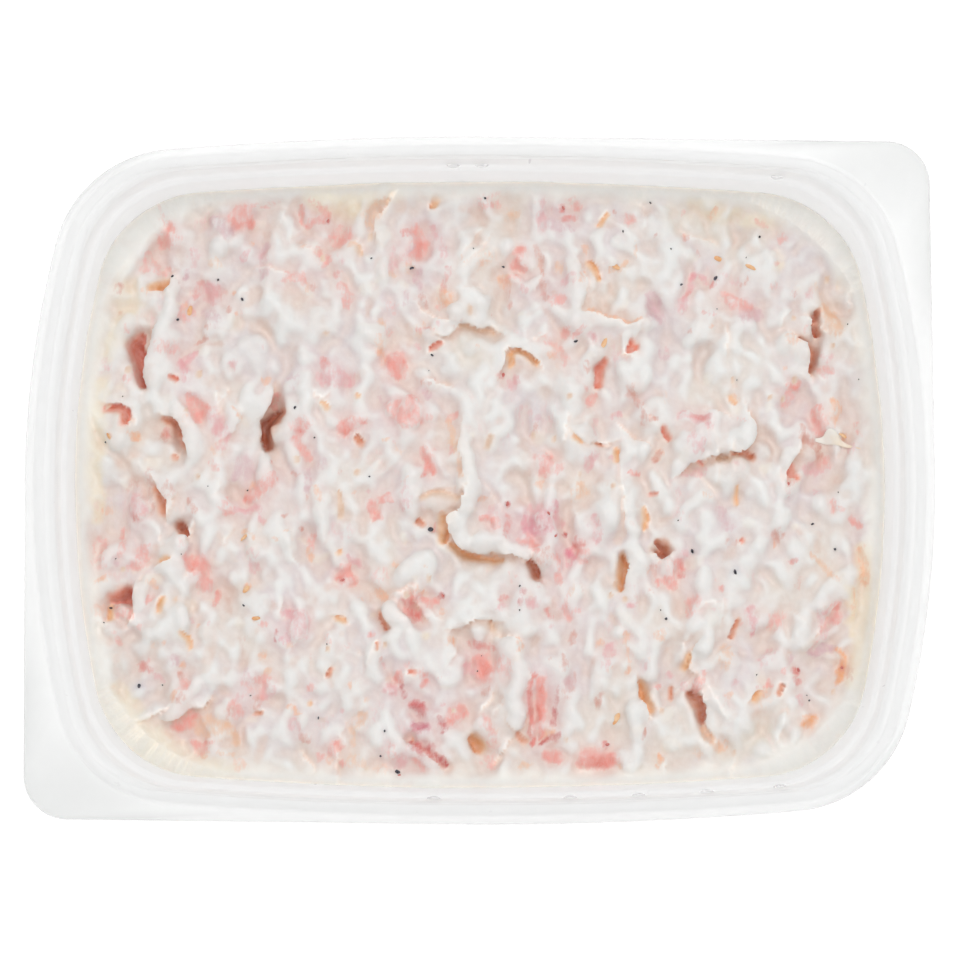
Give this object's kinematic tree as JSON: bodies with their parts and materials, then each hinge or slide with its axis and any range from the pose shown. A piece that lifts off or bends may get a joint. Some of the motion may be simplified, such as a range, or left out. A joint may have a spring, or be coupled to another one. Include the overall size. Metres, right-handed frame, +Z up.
{
  "type": "garlic cheese spread",
  "caption": "Chunky garlic cheese spread with ham and pepper, filling a translucent rectangular deli tub with bowed sides, a sealing flange and two peel tabs.",
  "frame": {"origin": "on the surface that the tub stands on, under the middle of its flange", "axes": "+X along the tub's length, +Y along its width, +Z up out of the open top"},
  "size_m": [0.108, 0.082, 0.034],
  "materials": {
    "tub_plastic": "thin thermoformed polypropylene, milky and translucent, satin gloss",
    "cream": "thick creamy cheese, moist, soft sheen, lumpy with air pits",
    "ham": "moist pink cooked ham, cut faces with fine fibres",
    "garlic": "off-white chopped garlic and cheese crumbs, waxy",
    "pepper": "coarse black pepper grains, dull",
    "spice_flakes": "small orange spice flakes, dull"
  },
  "bodies": {
    "root": {"tub": "tub_plastic", "spread": "cream"}
  },
  "joints": []
}
